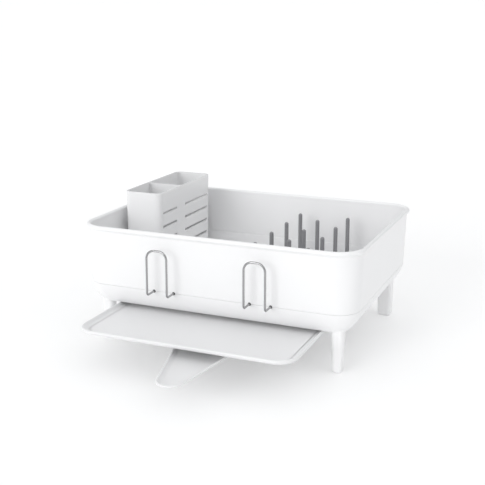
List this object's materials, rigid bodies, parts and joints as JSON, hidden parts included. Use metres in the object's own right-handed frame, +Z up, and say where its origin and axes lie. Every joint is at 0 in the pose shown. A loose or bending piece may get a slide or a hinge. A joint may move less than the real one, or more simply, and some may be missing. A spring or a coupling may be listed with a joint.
{
  "type": "dish drying rack",
  "caption": "Countertop dish drying rack: rounded basin on legs with plate pegs, utensil caddy, wire cup hooks, a sliding drip tray and a swivel spout.",
  "frame": {"origin": "on the worktop plane, below the middle of the whole object with the tray and spout drawn out as they are at rest", "axes": "+Z up, +X to the rack's right seen from the front, the front and the spout face -Y"},
  "size_m": [0.416, 0.5006, 0.201],
  "materials": {
    "white_shell": "semi-gloss moulded white plastic",
    "white_tray": "satin moulded white plastic",
    "foot_rubber": "matt light grey rubber",
    "steel_screw": "satin steel",
    "dark_socket": "matt dark grey plastic",
    "steel_wire": "polished stainless steel wire",
    "grey_peg": "satin mid grey plastic",
    "grey_ring": "matt grey plastic"
  },
  "bodies": {
    "rack": {"frame": "white_shell", "base": "white_shell", "front_left_leg": "white_shell", "front_right_leg": "white_shell", "rear_left_leg": "white_shell", "rear_right_leg": "white_shell", "front_left_foot_pad": "foot_rubber", "front_right_foot_pad": "foot_rubber", "rear_left_foot_pad": "foot_rubber", "rear_right_foot_pad": "foot_rubber", "leg_screws": "steel_screw", "hook_sockets": "dark_socket", "tray_runner_left": "white_shell", "tray_runner_right": "white_shell"},
    "hook_left": {"cup_hook_left": "steel_wire"},
    "hook_right": {"cup_hook_right": "steel_wire"},
    "plate_rack": {"peg_strip_left": "grey_peg", "peg_strip_middle": "grey_peg", "peg_strip_right": "grey_peg", "peg_bar_front": "grey_peg", "peg_bar_rear": "grey_peg"},
    "caddy": {"utensil_caddy": "white_shell", "caddy_divider": "white_shell"},
    "tray": {"drip_tray": "white_tray", "outlet_collar": "white_tray", "spout_retainer": "grey_ring"},
    "spout": {"swivel_spout": "white_tray", "spout_hub": "white_tray"}
  },
  "joints": [
    {"name": "tray_slide", "type": "slide", "parent": "rack", "child": "tray", "axis": [0, -1, 0], "range_m": [-0.1, 0.13]},
    {"name": "spout_swivel", "type": "hinge", "parent": "tray", "child": "spout", "pos_m": [0.014, -0.01069, 0.0455], "axis": [0, 0, 1], "range_deg": [-43.4, 36.6]},
    {"name": "caddy_lift", "type": "slide", "parent": "rack", "child": "caddy", "axis": [0, 0, 1], "range_m": [0, 0.13]},
    {"name": "plate_rack_lift", "type": "slide", "parent": "rack", "child": "plate_rack", "axis": [0, 0, 1], "range_m": [0, 0.13]},
    {"name": "hook_left_pull", "type": "slide", "parent": "rack", "child": "hook_left", "axis": [0, -1, 0], "range_m": [0, 0.03]},
    {"name": "hook_right_pull", "type": "slide", "parent": "rack", "child": "hook_right", "axis": [0, -1, 0], "range_m": [0, 0.03]}
  ]
}
